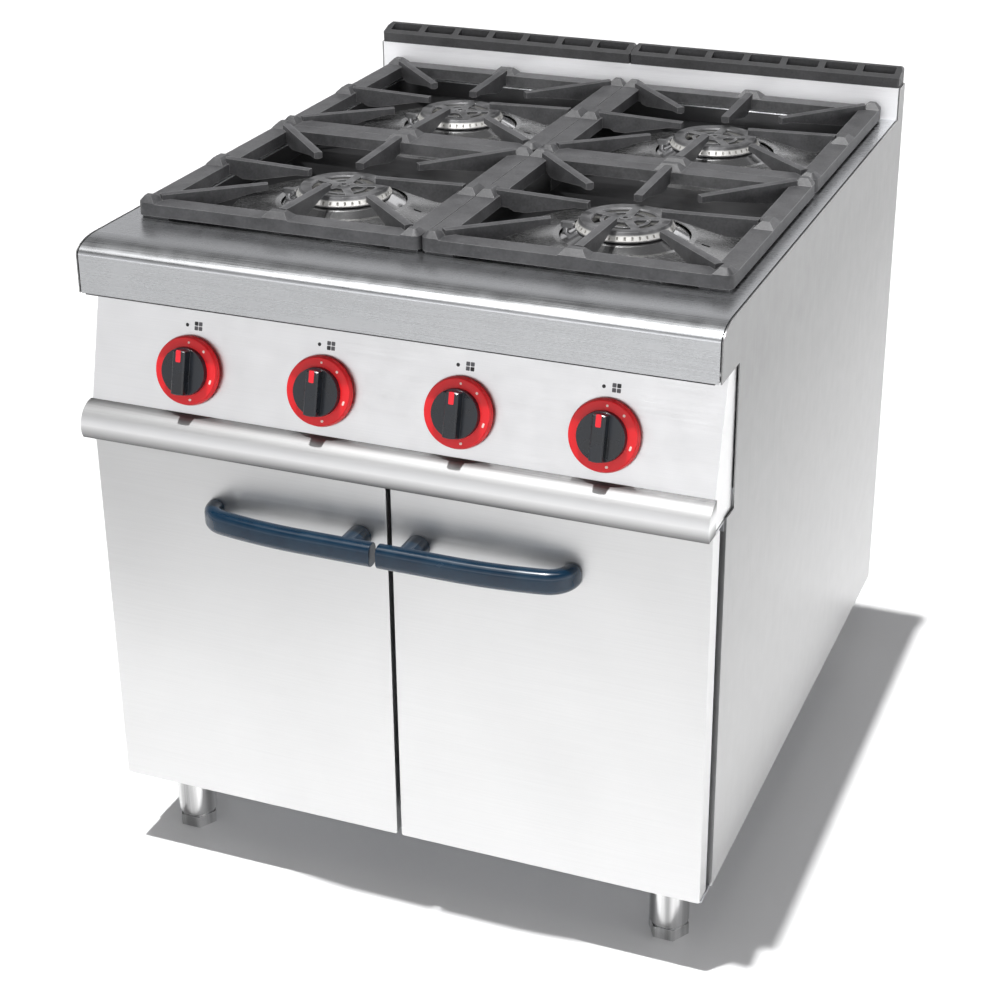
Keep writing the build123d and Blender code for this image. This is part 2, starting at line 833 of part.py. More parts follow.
def door_liner(name, side):
    """Inner liner closing the back of the door, with a pivot block at each end."""
    inset = sheet + 0.3
    liner_front = 8.0
    centre, wide, tall = door_outline(side, inset)
    with BuildPart() as liner:
        with BuildSketch(Plane.XZ.offset(-(front + liner_front))):
            with Locations(centre):
                RectangleRounded(wide, tall, 1.5)
        extrude(amount=-(door_thickness - liner_front))
        with BuildSketch(Plane.XZ.offset(-(front + liner_front))):
            with Locations(centre):
                Rectangle(wide - 2 * sheet, tall - 2 * sheet)
        extrude(amount=-(door_thickness - liner_front - sheet), mode=Mode.SUBTRACT)
        for level, grow in ((door_bottom + inset, 22), (door_top - inset, -22)):
            with BuildSketch(Plane.XY.offset(level)):
                with Locations((side * (pivot_x - 3), front + pivot_depth)):
                    Rectangle(18, 16)
            extrude(amount=grow)
        with BuildSketch(Plane.XY.offset(door_bottom)):
            with Locations((side * pivot_x, front + pivot_depth)):
                Circle(4 + running_clearance)
        extrude(amount=tall + 4, mode=Mode.SUBTRACT)
    finish(liner, name)


def door_handle(name, side):
    """Bow handle: straight by the door's free edge, curving back into the door outside."""
    with BuildPart() as handle:
        with BuildLine(Plane.XY.offset(handle_height)):
            bar = Line((side * 4, front - handle_standoff), (side * 95, front - handle_standoff))
            bow = TangentArc(bar @ 1, (side * 208, front - handle_standoff + 10), tangent=bar % 1)
            TangentArc(bow @ 1, (side * bow_end, front - 0.8), tangent=bow % 1)
        with BuildSketch(Plane(origin=bar @ 0, x_dir=(0, 1, 0), z_dir=(side, 0, 0))):
            RectangleRounded(handle_thick, handle_tall, 10)
        sweep()
        with BuildSketch(Plane.XZ.offset(-front)):
            with Locations((side * post_x, handle_height)):
                Circle(post_radius)
        extrude(amount=handle_standoff)
        with BuildSketch(Plane.XZ.offset(-front)):
            with Locations((side * post_x, handle_height), (side * bow_screw, handle_height)):
                Circle(2.6)
        extrude(amount=16, mode=Mode.SUBTRACT)
    finish(handle, name)


def handle_screws(name, side):
    """Screws from inside the door into the handle."""
    with BuildPart() as screws:
        with BuildSketch(Plane.XZ.offset(-(front + sheet))):
            with Locations((side * post_x, handle_height), (side * bow_screw, handle_height)):
                Circle(2.5)
        extrude(amount=sheet + 14)
        with BuildSketch(Plane.XZ.offset(-(front + sheet))):
            with Locations((side * post_x, handle_height), (side * bow_screw, handle_height)):
                Circle(4.7)
        extrude(amount=-3)
    finish(screws, name)


for name, side in sides.items():
    door_skin(f"door_skin_{name}", side)
    door_liner(f"door_liner_{name}", side)
    door_handle(f"door_handle_{name}", side)
    handle_screws(f"handle_screws_{name}", side)

with BuildPart() as hinge_brackets:
    for side in sides.values():
        for level, pin, back in ((door_top + 2, -18, 42), (base - 3, 20, 74)):
            arm = back - pivot_depth + 8
            with BuildSketch(Plane.XY.offset(level)):
                with Locations((side * (pivot_x - 1), front + back - arm / 2)):
                    Rectangle(20, arm)
            extrude(amount=3)
            with BuildSketch(Plane.XY.offset(level + (0 if pin < 0 else 3))):
                with Locations((side * pivot_x, front + pivot_depth)):
                    Circle(4)
            extrude(amount=pin)
        with BuildSketch(Plane.XY.offset(door_top + 5)):
            with Locations((side * (pivot_x - 1), cabinet_front - sheet / 2)):
                Rectangle(20, sheet)
        extrude(amount=-14)
finish(hinge_brackets, "hinge_brackets")

with BuildPart() as door_catches:
    for side in sides.values():
        with BuildSketch(Plane.XY.offset(570)):
            with Locations((side * 30, front + 54.5)):
                RectangleRounded(40, 43, 2)
        extrude(amount=16)
        with BuildSketch(Plane.XY.offset(586)):
            with Locations((side * 30, front + 74.5)):
                Rectangle(36, 3)
        extrude(amount=ceiling - 586)
finish(door_catches, "door_catches")
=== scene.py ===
"""Looks of the commercial gas range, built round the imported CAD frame.

Row frame in metres: origin on the floor under the centre, +X to the user's right, +Y to the rear, +Z up.
"""

import json
from math import cos, pi, radians, sin

import bmesh
import bpy
from mathutils import Matrix, Vector

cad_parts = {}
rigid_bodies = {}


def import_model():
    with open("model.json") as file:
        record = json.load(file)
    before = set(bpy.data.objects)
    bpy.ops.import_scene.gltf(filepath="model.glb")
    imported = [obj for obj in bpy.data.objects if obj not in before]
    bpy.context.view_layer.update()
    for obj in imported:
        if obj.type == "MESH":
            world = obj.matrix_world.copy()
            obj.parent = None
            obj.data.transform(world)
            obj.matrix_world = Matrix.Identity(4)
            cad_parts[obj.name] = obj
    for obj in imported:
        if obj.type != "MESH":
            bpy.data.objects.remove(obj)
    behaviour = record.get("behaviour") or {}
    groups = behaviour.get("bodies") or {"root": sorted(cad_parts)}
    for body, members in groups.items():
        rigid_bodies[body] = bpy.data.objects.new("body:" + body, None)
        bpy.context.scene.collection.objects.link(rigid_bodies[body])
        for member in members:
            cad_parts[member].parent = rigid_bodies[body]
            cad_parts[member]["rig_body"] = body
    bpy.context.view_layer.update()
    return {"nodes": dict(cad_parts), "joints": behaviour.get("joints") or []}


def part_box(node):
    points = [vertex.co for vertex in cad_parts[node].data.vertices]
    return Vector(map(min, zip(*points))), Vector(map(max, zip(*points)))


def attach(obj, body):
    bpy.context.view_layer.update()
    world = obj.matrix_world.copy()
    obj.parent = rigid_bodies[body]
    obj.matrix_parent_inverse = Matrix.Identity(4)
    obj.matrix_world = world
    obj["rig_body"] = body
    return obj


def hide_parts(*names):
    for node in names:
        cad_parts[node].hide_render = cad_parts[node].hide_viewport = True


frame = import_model()
nodes = frame["nodes"]
bodies_of = {name: obj["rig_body"] for name, obj in nodes.items()}

MM = 0.001
corners = [(row, side) for row in ("front", "rear") for side in ("left", "right")]
knob_numbers = (1, 2, 3, 4)
# place of the burner that each knob serves, as (column, row) from the left front
served = {1: (0, 1), 2: (0, 0), 3: (1, 0), 4: (1, 1)}


# ---------------------------------------------------------------- material building blocks
class Recipe:
    """One node material: a Principled surface and short calls that add nodes to it."""

    def __init__(self, name):
        self.material = bpy.data.materials.new(name)
        self.material.use_nodes = True
        self.tree = self.material.node_tree
        self.surface = self.tree.nodes["Principled BSDF"]
        self.place = self.add("ShaderNodeTexCoord").outputs["Object"]

    def add(self, kind, **settings):
        node = self.tree.nodes.new(kind)
        for key, value in settings.items():
            setattr(node, key, value)
        return node

    def feed(self, socket, value):
        if isinstance(value, bpy.types.NodeSocket):
            self.tree.links.new(value, socket)
        else:
            socket.default_value = value

    def set(self, **values):
        """Constants on the shader's own sockets."""
        for key, value in values.items():
            self.surface.inputs[key.replace("_", " ")].default_value = value

    def noise(self, scale, stretch=(1, 1, 1), detail=3.0, roughness=0.5):
        """Noise over the object's own coordinates; scale is features per metre."""
        mapping = self.add("ShaderNodeMapping")
        self.feed(mapping.inputs["Vector"], self.place)
        mapping.inputs["Scale"].default_value = stretch
        texture = self.add("ShaderNodeTexNoise")
        self.feed(texture.inputs["Vector"], mapping.outputs["Vector"])
        texture.inputs["Scale"].default_value = scale
        texture.inputs["Detail"].default_value = detail
        texture.inputs["Roughness"].default_value = roughness
        return texture.outputs["Fac"]

    def remap(self, value, low, high, to_low, to_high):
        node = self.add("ShaderNodeMapRange")
        self.feed(node.inputs["Value"], value)
        node.inputs["From Min"].default_value = low
        node.inputs["From Max"].default_value = high
        node.inputs["To Min"].default_value = to_low
        node.inputs["To Max"].default_value = to_high
        return node.outputs["Result"]

    def math(self, operation, a, b=0.0):
        node = self.add("ShaderNodeMath", operation=operation)
        self.feed(node.inputs[0], a)
        self.feed(node.inputs[1], b)
        return node.outputs["Value"]

    def blend(self, factor, a, b):
        node = self.add("ShaderNodeMix", data_type="RGBA")
        self.feed(node.inputs["Factor"], factor)
        for key, colour in (("A", a), ("B", b)):
            socket = [s for s in node.inputs if s.name == key and s.type == "RGBA"][0]
            self.feed(socket, colour if isinstance(colour, bpy.types.NodeSocket) else (*colour, 1.0))
        return [s for s in node.outputs if s.type == "RGBA"][0]

    def edges(self, radius, low=0.02, high=0.30):
        """1 along worn edges, 0 on open faces."""
        bevel = self.add("ShaderNodeBevel", samples=4)
        bevel.inputs["Radius"].default_value = radius
        geometry = self.add("ShaderNodeNewGeometry")
        dot = self.add("ShaderNodeVectorMath", operation="DOT_PRODUCT")
        self.feed(dot.inputs[0], bevel.outputs["Normal"])
        self.feed(dot.inputs[1], geometry.outputs["True Normal"])
        return self.remap(self.math("SUBTRACT", 1.0, dot.outputs["Value"]), low, high, 0.0, 1.0)

    def height(self):
        """The object's own Z coordinate."""
        split = self.add("ShaderNodeSeparateXYZ")
        self.feed(split.inputs[0], self.place)
        return split.outputs["Z"]

    def bump(self, *layers):
        """Stacked bumps, each (value, strength, distance)."""
        below = None
        for value, strength, distance in layers:
            node = self.add("ShaderNodeBump")
            self.feed(node.inputs["Height"], value)
            node.inputs["Strength"].default_value = strength
            node.inputs["Distance"].default_value = distance
            if below is not None:
                self.feed(node.inputs["Normal"], below)
            below = node.outputs["Normal"]
        self.feed(self.surface.inputs["Normal"], below)

    def finish(self, colour, roughness):
        self.feed(self.surface.inputs["Base Color"], colour)
        self.feed(self.surface.inputs["Roughness"], roughness)
        return self.material


def brushed(name, colour, along, roughness, metallic=1.0, spread=0.05, grain=900.0, painted_reflection_lower=None):
    """Rolled sheet with fine brushing along one axis, faint clouds and slightly brighter edges; given a
    painted reflection it turns lighter towards the bottom.
    """
    recipe = Recipe(name)
    stretch = [1.0, 1.0, 1.0]
    stretch["xyz".index(along)] = 0.008
    lines = recipe.noise(grain, stretch, detail=4.0, roughness=0.65)
    clouds = recipe.noise(5.0, detail=2.0)
    fine = recipe.noise(38.0, detail=3.0)
    tone = recipe.math("ADD", recipe.remap(lines, 0.3, 0.7, 0.0, 0.55),
                       recipe.remap(clouds, 0.3, 0.7, 0.0, 0.45))
    darker = tuple(c * (1 - spread) for c in colour)
    lighter = tuple(min(1.0, c * (1 + spread)) for c in colour)
    base = recipe.blend(tone, darker, lighter)
    # painted reflection: the base colour turns lighter towards the bottom of the sheet
    if painted_reflection_lower:
        base = recipe.blend(recipe.remap(recipe.height(), 0.15, 0.75, 0.8, 0.0), base, painted_reflection_lower)
    base = recipe.blend(recipe.math("MULTIPLY", recipe.edges(0.0012), 0.35), base, (0.92, 0.92, 0.92))
    rough = recipe.math("ADD", recipe.remap(lines, 0.25, 0.75, roughness - 0.06, roughness + 0.06),
                        recipe.remap(fine, 0.3, 0.7, -0.02, 0.02))
    recipe.set(Metallic=metallic)
    recipe.bump((lines, 0.10, 0.00006), (clouds, 0.05, 0.0015))
    return recipe.finish(base, rough)


def cast(name, dark, light, worn, roughness, grain=700.0, depth=0.00025, metallic=0.0):
    """Sand-cast surface: grain, pits, mottled tone and rubbed edges."""
    recipe = Recipe(name)
    sand = recipe.noise(grain, detail=5.0, roughness=0.6)
    lumps = recipe.noise(90.0, detail=3.0)
    mottle = recipe.math("ADD", recipe.math("MULTIPLY", recipe.noise(34.0, detail=4.0, roughness=0.65), 0.6),
                         recipe.math("MULTIPLY", recipe.noise(320.0, detail=3.0, roughness=0.6), 0.4))
    base = recipe.blend(recipe.remap(mottle, 0.36, 0.64, 0.0, 1.0), dark, light)
    rubbed = recipe.math("MULTIPLY", recipe.edges(0.0016), recipe.remap(sand, 0.35, 0.6, 0.35, 1.0))
    base = recipe.blend(rubbed, base, worn)
    rough = recipe.math("ADD", recipe.remap(sand, 0.3, 0.7, roughness - 0.07, roughness + 0.08),
                        recipe.math("MULTIPLY", rubbed, -0.12))
    recipe.set(Metallic=metallic)
    recipe.bump((lumps, 0.35, 0.0006), (sand, 0.45, depth))
    return recipe.finish(base, rough)


def glossy(name, colour, lighter, roughness, coat=0.6, peel=0.00008):
    """Moulded or lacquered gloss surface with faint orange peel, dust and lighter edges."""
    recipe = Recipe(name)
    peel_noise = recipe.noise(260.0, detail=2.0)
    handled = recipe.noise(30.0, detail=4.0, roughness=0.6)
    base = recipe.blend(recipe.remap(handled, 0.3, 0.7, 0.0, 0.6), colour, lighter)
    base = recipe.blend(recipe.math("MULTIPLY", recipe.edges(0.0008), 0.5), base, lighter)
    rough = recipe.remap(handled, 0.3, 0.7, roughness - 0.04, roughness + 0.06)
    recipe.set(Coat_Weight=coat, Coat_Roughness=0.12)
    recipe.bump((peel_noise, 0.15, peel))
    return recipe.finish(base, rough)


def machined(name, colour, roughness, along="z"):
    """Turned or drawn metal."""
    return brushed(name, colour, along, roughness, spread=0.09, grain=1400.0)


def polished_tube(name, dark, light, roughness):
    """Polished stainless leg: broad bands along its height painted into the base colour as reflections of a
    bright room.
    """
    recipe = Recipe(name)
    # painted reflection: broad light and dark bands along the height
    painted_reflection_streaks = recipe.noise(52.0, (1.0, 1.0, 0.03), detail=2.0, roughness=0.4)
    lines = recipe.noise(1500.0, (1.0, 1.0, 0.01), detail=3.0)
    tone = recipe.math("ADD", recipe.remap(painted_reflection_streaks, 0.40, 0.60, 0.0, 0.85),
                       recipe.remap(lines, 0.3, 0.7, 0.0, 0.15))
    base = recipe.blend(tone, dark, light)
    base = recipe.blend(recipe.math("MULTIPLY", recipe.edges(0.0010), 0.5), base, (0.95, 0.95, 0.95))
    recipe.set(Metallic=1.0)
    recipe.bump((lines, 0.08, 0.00005))
    return recipe.finish(base, recipe.remap(lines, 0.25, 0.75, roughness - 0.05, roughness + 0.05))


def fill_ramp(ramp, stops, blueness=1.0):
    """Sets a colour ramp's stops from (position, grey) pairs."""
    ramp.color_ramp.elements[1].position = stops[-1][0]
    for position, _ in stops[1:-1]:
        ramp.color_ramp.elements.new(position)
    for element, (position, grey) in zip(ramp.color_ramp.elements, stops):
        element.position = position
        element.color = (grey, grey, grey * blueness, 1.0)


def rail_steel_painted_light():
    """Half-round rail: satin stainless, its base colour graded over its height as painted reflection and
    shade.
    """
    low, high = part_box("front_rail")
    recipe = Recipe("rail_steel_painted_light")
    lines = recipe.noise(900.0, (0.008, 1.0, 1.0), detail=4.0, roughness=0.65)
    ramp = recipe.add("ShaderNodeValToRGB")
    recipe.feed(ramp.inputs["Fac"], recipe.remap(recipe.height(), low.z, high.z, 0.0, 1.0))
    # painted reflection and shade: dark at the bottom and top of the rail, a bright band below the middle
    stops = ((0.0, 0.10), (0.16, 0.34), (0.42, 0.90), (0.66, 0.74), (0.86, 0.30), (1.0, 0.10))
    fill_ramp(ramp, stops)
    base = recipe.blend(recipe.remap(lines, 0.3, 0.7, 0.0, 0.12), ramp.outputs["Color"], (0.85, 0.85, 0.85))
    recipe.set(Metallic=1.0)
    recipe.bump((lines, 0.10, 0.00006))
    return recipe.finish(base, recipe.remap(lines, 0.25, 0.75, 0.46, 0.56))


def crown_metal():
    """Cast burner crown: dull casting, pale scaled band where the ports are."""
    recipe = Recipe("crown_casting")
    crown_low, crown_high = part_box("burner_crown_front_left")
    sand = recipe.noise(900.0, detail=4.0, roughness=0.6)
    mottle = recipe.noise(60.0, detail=4.0)
    base = recipe.blend(recipe.remap(mottle, 0.3, 0.7, 0.0, 1.0), (0.09, 0.09, 0.093), (0.24, 0.24, 0.245))
    height = recipe.height()
    rise = recipe.remap(height, crown_low.z + 0.0085, crown_low.z + 0.0105, 0.0, 1.0)
    fall = recipe.remap(height, crown_low.z + 0.0145, crown_low.z + 0.0165, 1.0, 0.0)
    band = recipe.math("MULTIPLY", recipe.math("MULTIPLY", rise, fall),
                       recipe.remap(sand, 0.2, 0.6, 0.75, 1.0))
    base = recipe.blend(band, base, (0.80, 0.79, 0.76))
    rubbed = recipe.edges(0.0012)
    base = recipe.blend(recipe.math("MULTIPLY", rubbed, 0.8), base, (0.75, 0.75, 0.75))
    rough = recipe.math("SUBTRACT", recipe.remap(sand, 0.3, 0.7, 0.38, 0.52),
                        recipe.math("MULTIPLY", rubbed, 0.12))
    recipe.set(Metallic=0.7)
    recipe.bump((mottle, 0.2, 0.0005), (sand, 0.4, 0.0002))
    return recipe.finish(base, rough)


steel_across = brushed("brushed_steel_x", (0.78, 0.78, 0.78), "x", 0.34)
steel_door = brushed("door_steel_x", (0.70, 0.70, 0.70), "x", 0.38)
steel_hob = brushed("hob_steel_x", (0.72, 0.73, 0.745), "x", 0.28)
steel_well = brushed("well_steel_x", (0.07, 0.07, 0.072), "x", 0.45, spread=0.10)
# side sheets: the same stainless as the doors, painted darker as shade, with a painted reflection lighter
# towards the bottom
steel_side_painted_light = brushed("side_steel_z_painted_light", (0.27, 0.27, 0.27), "z", 0.36, painted_reflection_lower=(0.62, 0.62, 0.62))
steel_riser = brushed("riser_steel_x", (0.94, 0.94, 0.95), "x", 0.50, metallic=0.45)
steel_rail_painted_light = rail_steel_painted_light()
steel_leg = polished_tube("leg_steel", (0.30, 0.30, 0.30), (0.86, 0.86, 0.86), 0.20)
steel_foot = polished_tube("foot_steel", (0.34, 0.34, 0.34), (0.86, 0.86, 0.86), 0.24)
steel_dish = brushed("dish_steel", (0.60, 0.60, 0.60), "x", 0.26, spread=0.08, grain=600.0)
steel_cup = machined("cup_steel", (0.86, 0.86, 0.86), 0.16)
steel_pipe = machined("pipe_steel", (0.45, 0.45, 0.46), 0.35, along="y")
zinc_sheet = brushed("galvanised_sheet", (0.52, 0.53, 0.55), "x", 0.42,
                     metallic=0.9, spread=0.10, grain=120.0)
zinc_screw = machined("zinc_screw", (0.66, 0.66, 0.66), 0.28)
grate_iron = cast("grate_iron", (0.038, 0.038, 0.040), (0.078, 0.078, 0.081), (0.26, 0.26, 0.26), 0.46)
flue_iron = cast("flue_iron", (0.028, 0.028, 0.029), (0.050, 0.050, 0.052), (0.14, 0.14, 0.14), 0.46)
burner_iron = cast("burner_iron", (0.10, 0.10, 0.10), (0.18, 0.175, 0.17), (0.30, 0.30, 0.30), 0.50,
                   metallic=0.5)
brass = machined("valve_brass", (0.70, 0.52, 0.25), 0.30)
crown_casting = crown_metal()
dial_red = glossy("dial_red", (0.72, 0.003, 0.008), (0.84, 0.010, 0.018), 0.34, coat=0.0)
pointer_red = glossy("pointer_red", (0.78, 0.006, 0.02), (0.88, 0.02, 0.035), 0.34, coat=0.0)
knob_black = glossy("knob_black", (0.004, 0.005, 0.007), (0.014, 0.020, 0.030), 0.28, coat=0.1)
handle_navy = glossy("handle_navy", (0.003, 0.018, 0.040), (0.008, 0.036, 0.070), 0.22, coat=0.15)
print_pale = glossy("print_pale", (0.85, 0.62, 0.56), (0.95, 0.78, 0.72), 0.40, coat=0.2)
# dark print, also worn by the painted shadow strip under the flange
print_and_shadow_dark = glossy("print_and_shadow_dark", (0.012, 0.012, 0.014), (0.03, 0.03, 0.03), 0.45, coat=0.1)
print_grey = glossy("print_grey", (0.10, 0.10, 0.11), (0.16, 0.16, 0.17), 0.45, coat=0.1)


# ---------------------------------------------------------------- frame pieces kept as they are
def wear(names, material):
    for name in names:
        mesh = nodes[name].data
        mesh.materials.clear()
        mesh.materials.append(material)


def corner_names(prefix):
    return [f"{prefix}_{row}_{side}" for row, side in corners]


wear(["hob_top"], steel_hob)
wear(["side_panel_left", "side_panel_right"], steel_side_painted_light)
wear(["hob_well"], steel_well)
wear(["control_panel"], steel_across)
wear(["door_skin_left", "door_skin_right"], steel_door)
wear(["front_rail"], steel_rail_painted_light)
wear(["flue_riser"], steel_riser)
wear(["back_panel", "cabinet_floor", "heat_shield", "hinge_brackets", "door_catches"], zinc_sheet)
wear(["door_liner_left", "door_liner_right"], zinc_sheet)
wear(corner_names("spill_dish"), steel_dish)
wear(["burner_cups"], steel_cup)
wear(corner_names("burner_body"), burner_iron)
wear(["pilot_burners", "supply_pipes", "gas_manifold"], steel_pipe)
wear(["gas_valves"] + [f"valve_spindle_{n}" for n in knob_numbers], brass)
wear(["leg_tubes"], steel_leg)
wear(["handle_screws_left", "handle_screws_right"], zinc_screw)


# ---------------------------------------------------------------- finished copies of CAD pieces
def finished_copy(node, material, radius, segments=3, sharp=28):
    """The CAD piece with its edges rounded as the real one's are, standing for the node."""
    mesh = nodes[node].data.copy()
    if "custom_normal" in mesh.attributes:
        mesh.attributes.remove(mesh.attributes["custom_normal"])
    piece = bpy.data.objects.new(f"{node}_finished", mesh)
    bpy.context.scene.collection.objects.link(piece)
    solid = bmesh.new()
    solid.from_mesh(mesh)
    bmesh.ops.remove_doubles(solid, verts=solid.verts, dist=0.00002)
    bmesh.ops.dissolve_limit(solid, angle_limit=radians(0.6), verts=solid.verts, edges=solid.edges)
    solid.to_mesh(mesh)
    solid.free()
    mesh.materials.clear()
    mesh.materials.append(material)
    mesh.shade_smooth()
    mesh.set_sharp_from_angle(angle=radians(sharp))
    bevel = piece.modifiers.new("rounded edges", "BEVEL")
    bevel.width = radius
    bevel.segments = segments
    bevel.limit_method = "ANGLE"
    bevel.angle_limit = radians(sharp)
    bevel.harden_normals = True
    bevel.miter_outer = "MITER_ARC"
    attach(piece, bodies_of[node])
    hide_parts(node)
    return piece


for node in corner_names("grate"):
    finished_copy(node, grate_iron, 1.3 * MM)
for node in ("flue_grille_left", "flue_grille_right"):
    finished_copy(node, flue_iron, 0.9 * MM)
for node in corner_names("burner_crown"):
    finished_copy(node, crown_casting, 0.35 * MM, segments=2)
for node in corner_names("foot"):
    finished_copy(node, steel_foot, 0.6 * MM)
for number in knob_numbers:
    finished_copy(f"knob_{number}", knob_black, 0.8 * MM)
    finished_copy(f"dial_ring_{number}", dial_red, 0.6 * MM)
for node in ("door_handle_left", "door_handle_right"):
    finished_copy(node, handle_navy, 1.2 * MM, sharp=50)


# ---------------------------------------------------------------- prints and pointer on the panel
def panel_frame(number):
    """Place of a knob's axis on the panel: origin on the panel, X right, Y up the slope, Z outwards."""
    joint = [j for j in frame["joints"] if j["name"] == f"valve_{number}_turn"][0]
    outward = Vector(joint["axis"])
    up = outward.cross(Vector((1, 0, 0)))
    place = Matrix.Identity(4)
    for column, axis in enumerate((Vector((1, 0, 0)), up, outward)):
        for line in range(3):
            place[line][column] = axis[line]
    place.translation = Vector(joint["pos_m"])
    return place


def plate(name, outline, thick, place, material, body):
    """Thin raised print with the given outline, its top edge softened."""
    mesh = bpy.data.meshes.new(name)
    solid = bmesh.new()
    low = [solid.verts.new((x, y, 0)) for x, y in outline]
    high = [solid.verts.new((x, y, thick)) for x, y in outline]
    count = len(outline)
    for i in range(count):
        j = (i + 1) % count
        solid.faces.new((low[i], low[j], high[j], high[i]))
    solid.faces.new(high)
    solid.faces.new(list(reversed(low)))
    bmesh.ops.recalc_face_normals(solid, faces=solid.faces)
    solid.to_mesh(mesh)
    solid.free()
    mesh.transform(place)
    mesh.materials.append(material)
    piece = bpy.data.objects.new(name, mesh)
    bpy.context.scene.collection.objects.link(piece)
    softened = piece.modifiers.new("soft edge", "BEVEL")
    softened.width = thick * 0.4
    softened.segments = 2
    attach(piece, body)
    return piece


def rounded_outline(wide, tall, radius, centre=(0.0, 0.0), turn=0.0, steps=5):
    """Outline of a rounded rectangle, turned about the origin after it is placed."""
    points = []
    for quadrant, (sx, sy) in enumerate(((1, 1), (-1, 1), (-1, -1), (1, -1))):
        for step in range(steps + 1):
            angle = pi / 2 * (quadrant + step / steps)
            x = sx * (wide / 2 - radius) + radius * cos(angle) + centre[0]
            y = sy * (tall / 2 - radius) + radius * sin(angle) + centre[1]
            points.append((x * cos(turn) - y * sin(turn), x * sin(turn) + y * cos(turn)))
    return points


ring_face = 12.0 * MM      # ring's face above the panel
blade_face = 31.0 * MM     # knob blade's face above the panel
mark_radius = 35.0 * MM
# dial marks: clockwise angle from the top, width round the dial, length along the radius
dial_marks = ((4, 2.8, 2.8), (41, 3.2, 3.0), (105, 5.6, 2.6), (166, 3.6, 2.8))
symbol_rise = 54.0 * MM
for number in knob_numbers:
    place = panel_frame(number)
    knob_body = bodies_of[f"knob_{number}"]
    for index, (angle, wide, tall) in enumerate(dial_marks):
        outline = rounded_outline(wide * MM, tall * MM, 1.2 * MM, (0, mark_radius), -radians(angle))
        plate(f"dial_mark_{number}_{index + 1}", outline, 0.25 * MM,
              place @ Matrix.Translation((0, 0, ring_face - 0.05 * MM)), print_pale, knob_body)
    pointer = rounded_outline(6.6 * MM, 14.5 * MM, 1.6 * MM, (0, 20.0 * MM))
    plate(f"pointer_{number}", pointer, 0.5 * MM,
          place @ Matrix.Translation((0, 0, blade_face - 0.1 * MM)), pointer_red, knob_body)
    dot = rounded_outline(4.4 * MM, 4.4 * MM, 2.15 * MM, (-7.5 * MM, symbol_rise))
    plate(f"symbol_dot_{number}", dot, 0.15 * MM, place, print_and_shadow_dark, "frame")
    for column in (0, 1):
        for line in (0, 1):
            lit = (column, line) == served[number]
            at = ((7.5 + (column - 0.5) * 5.6) * MM, symbol_rise + (line - 0.5) * 5.6 * MM)
            outline = rounded_outline(4.8 * MM, 4.8 * MM, 0.8 * MM, at)
            plate(f"symbol_square_{number}_{column}{line}", outline, 0.15 * MM, place,
                  print_and_shadow_dark if lit else print_grey, "frame")


# ---------------------------------------------------------------- painted shadow line under the flange, and back screws
def painted_shadow_strip(name, low, high, material):
    """Dark strip between two corners, riding on the frame, painted as a shadow line."""
    outline = [(low.x, low.y), (high.x, low.y), (high.x, high.y), (low.x, high.y)]
    plate(name, outline, high.z - low.z, Matrix.Translation((0, 0, low.z)), material, "frame")


hob_low, hob_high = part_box("hob_top")
# painted shadow: a dark strip hanging under the hob's front flange, standing for its shade line
shadow_low = Vector((hob_low.x + 5 * MM, hob_low.y + 0.4 * MM, hob_low.z - 2.0 * MM))
shadow_high = Vector((hob_high.x - 5 * MM, hob_low.y + 6 * MM, hob_low.z))
painted_shadow_strip("flange_painted_shadow", shadow_low, shadow_high, print_and_shadow_dark)


def screw_head(name, place):
    """Domed screw head with a round socket, on the back panel."""
    solid = bmesh.new()
    profile = ((0.0045, 0.0), (0.0045, 0.0005), (0.0038, 0.0014), (0.0022, 0.0019))
    steps = 24
    rings = [[solid.verts.new((r * cos(2 * pi * i / steps), r * sin(2 * pi * i / steps), z))
              for i in range(steps)]
             for r, z in profile]
    socket = [[solid.verts.new((0.0017 * cos(2 * pi * i / steps), 0.0017 * sin(2 * pi * i / steps), z))
               for i in range(steps)] for z in (0.0019, 0.0007)]
    rings += socket
    for inner, outer in zip(rings[1:], rings):
        for i in range(steps):
            j = (i + 1) % steps
            solid.faces.new((outer[i], outer[j], inner[j], inner[i]))
    solid.faces.new(rings[-1])
    solid.faces.new(list(reversed(rings[0])))
    bmesh.ops.recalc_face_normals(solid, faces=solid.faces)
    mesh = bpy.data.meshes.new(name)
    solid.to_mesh(mesh)
    solid.free()
    mesh.shade_smooth()
    mesh.set_sharp_from_angle(angle=radians(35))
    mesh.transform(place)
    mesh.materials.append(zinc_screw)
    piece = bpy.data.objects.new(name, mesh)
    bpy.context.scene.collection.objects.link(piece)
    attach(piece, "frame")


back_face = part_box("back_panel")[1].y
for column, x in enumerate((-0.385, 0.0, 0.385)):
    for line, z in enumerate((0.130, 0.400, 0.640, 0.880)):
        screw_head(f"back_screw_{column}_{line}",
                   Matrix.Translation((x, back_face, z)) @ Matrix.Rotation(-pi / 2, 4, "X"))


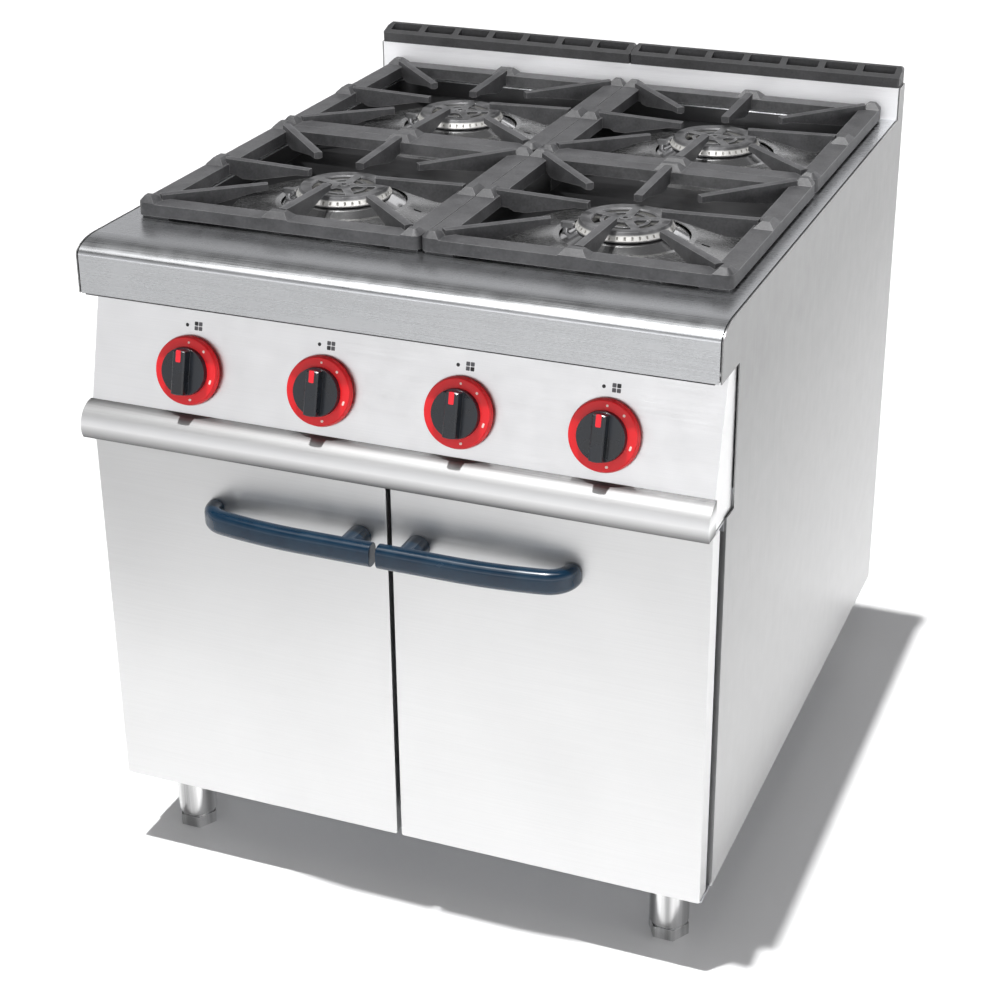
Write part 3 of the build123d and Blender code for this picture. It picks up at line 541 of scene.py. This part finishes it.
# ---------------------------------------------------------------- floor, light and camera
def floor():
    """Pale studio floor with painted shade: grey in front of the range and towards its front left, darkening
    what the doors reflect.
    """
    recipe = Recipe("studio_floor")
    soft = recipe.noise(1.5, detail=2.0)
    split = recipe.add("ShaderNodeSeparateXYZ")
    recipe.feed(split.inputs[0], recipe.place)
    # painted shade on the floor in front of the range and to its front left
    painted_shade_front = recipe.remap(split.outputs["Y"], -2.3, -1.1, 1.0, 0.0)
    painted_shade_left = recipe.math("MULTIPLY", recipe.remap(split.outputs["X"], -0.85, -0.20, 1.0, 0.0),
                        recipe.remap(split.outputs["Y"], -1.2, -0.9, 1.0, 0.0))
    colour = recipe.blend(soft, (0.90, 0.90, 0.90), (0.92, 0.92, 0.92))
    painted_shade_grey = (0.45, 0.45, 0.45)
    colour = recipe.blend(painted_shade_left, colour, painted_shade_grey)
    colour = recipe.blend(painted_shade_front, colour, painted_shade_grey)
    recipe.finish(colour, 0.75)
    recipe.set(Specular_IOR_Level=0.1)
    mesh = bpy.data.meshes.new("studio_floor")
    reach = 14.0
    mesh.from_pydata([(-reach, -reach, 0), (reach, -reach, 0), (reach, reach, 0), (-reach, reach, 0)], [],
                     [(0, 1, 2, 3)])
    mesh.materials.append(recipe.material)
    piece = bpy.data.objects.new("studio_floor", mesh)
    bpy.context.scene.collection.objects.link(piece)


def studio_world():
    """Bright low horizon, a greyer band above it and a dim sky, so that the lamps cast the shadow."""
    world = bpy.data.worlds.new("studio")
    world.use_nodes = True
    tree = world.node_tree
    background = tree.nodes["Background"]
    coordinates = tree.nodes.new("ShaderNodeTexCoord")
    split = tree.nodes.new("ShaderNodeSeparateXYZ")
    ramp = tree.nodes.new("ShaderNodeValToRGB")
    tree.links.new(coordinates.outputs["Generated"], split.inputs[0])
    tree.links.new(split.outputs["Z"], ramp.inputs["Fac"])
    side = tree.nodes.new("ShaderNodeMapRange")
    tree.links.new(split.outputs["X"], side.inputs["Value"])
    for key, value in (("From Min", -0.55), ("From Max", -0.05), ("To Min", 1.15), ("To Max", 2.1)):
        side.inputs[key].default_value = value
    tree.links.new(side.outputs["Result"], background.inputs["Strength"])
    tree.links.new(ramp.outputs["Color"], background.inputs["Color"])
    sky_blueness = 1.02
    stops = ((0.0, 1.0), (0.10, 1.0), (0.24, 0.36), (0.50, 0.32), (0.60, 0.05), (1.0, 0.03))
    fill_ramp(ramp, stops, sky_blueness)
    bpy.context.scene.world = world


def sun(name, toward, strength, spread):
    light = bpy.data.lights.new(name, "SUN")
    light.energy = strength
    light.angle = radians(spread)
    lamp = bpy.data.objects.new(name, light)
    bpy.context.scene.collection.objects.link(lamp)
    lamp.rotation_euler = Vector(toward).to_track_quat("-Z", "Y").to_euler()


def softbox(name, at, target, size, power):
    light = bpy.data.lights.new(name, "AREA")
    light.shape = "RECTANGLE"
    light.size, light.size_y = size
    light.energy = power
    lamp = bpy.data.objects.new(name, light)
    bpy.context.scene.collection.objects.link(lamp)
    lamp.location = at
    lamp.rotation_euler = (Vector(target) - Vector(at)).to_track_quat("-Z", "Y").to_euler()


def camera():
    """The photograph's viewpoint, solved from its edges."""
    yaw, pitch, roll = radians(-21.55), radians(24.42), radians(-0.23)
    forward = Vector((sin(yaw) * cos(pitch), cos(yaw) * cos(pitch), -sin(pitch)))
    right = Vector((cos(yaw), -sin(yaw), 0))
    up = right.cross(forward)
    across = right * cos(roll) + up * sin(roll)
    upward = -right * sin(roll) + up * cos(roll)
    lens = bpy.data.cameras.new("camera")
    lens.sensor_width = 36.0
    lens.lens = 74.16
    lens.shift_x = -0.023
    lens.shift_y = -0.061
    lens.clip_end = 50.0
    view = bpy.data.objects.new("camera", lens)
    bpy.context.scene.collection.objects.link(view)
    place = Matrix.Identity(4)
    for column, axis in enumerate((across, upward, -forward)):
        for line in range(3):
            place[line][column] = axis[line]
    place.translation = Vector((0.947, -2.401, 1.645))
    view.matrix_world = place
    bpy.context.scene.camera = view


floor()
studio_world()
sun("key", (0.09, 0.10, -1.0), 3.4, 1.5)
softbox("front_overhead", (-1.0, -1.5, 3.2), (0, -0.3, 0.85), (2.4, 0.8), 8.0)
softbox("hob_fill", (0.1, -0.5, 1.7), (0, 0.45, 0.86), (1.2, 0.3), 6.0)
camera()
bpy.context.scene.view_settings.view_transform = "Standard"
bpy.context.scene.view_settings.look = "None"
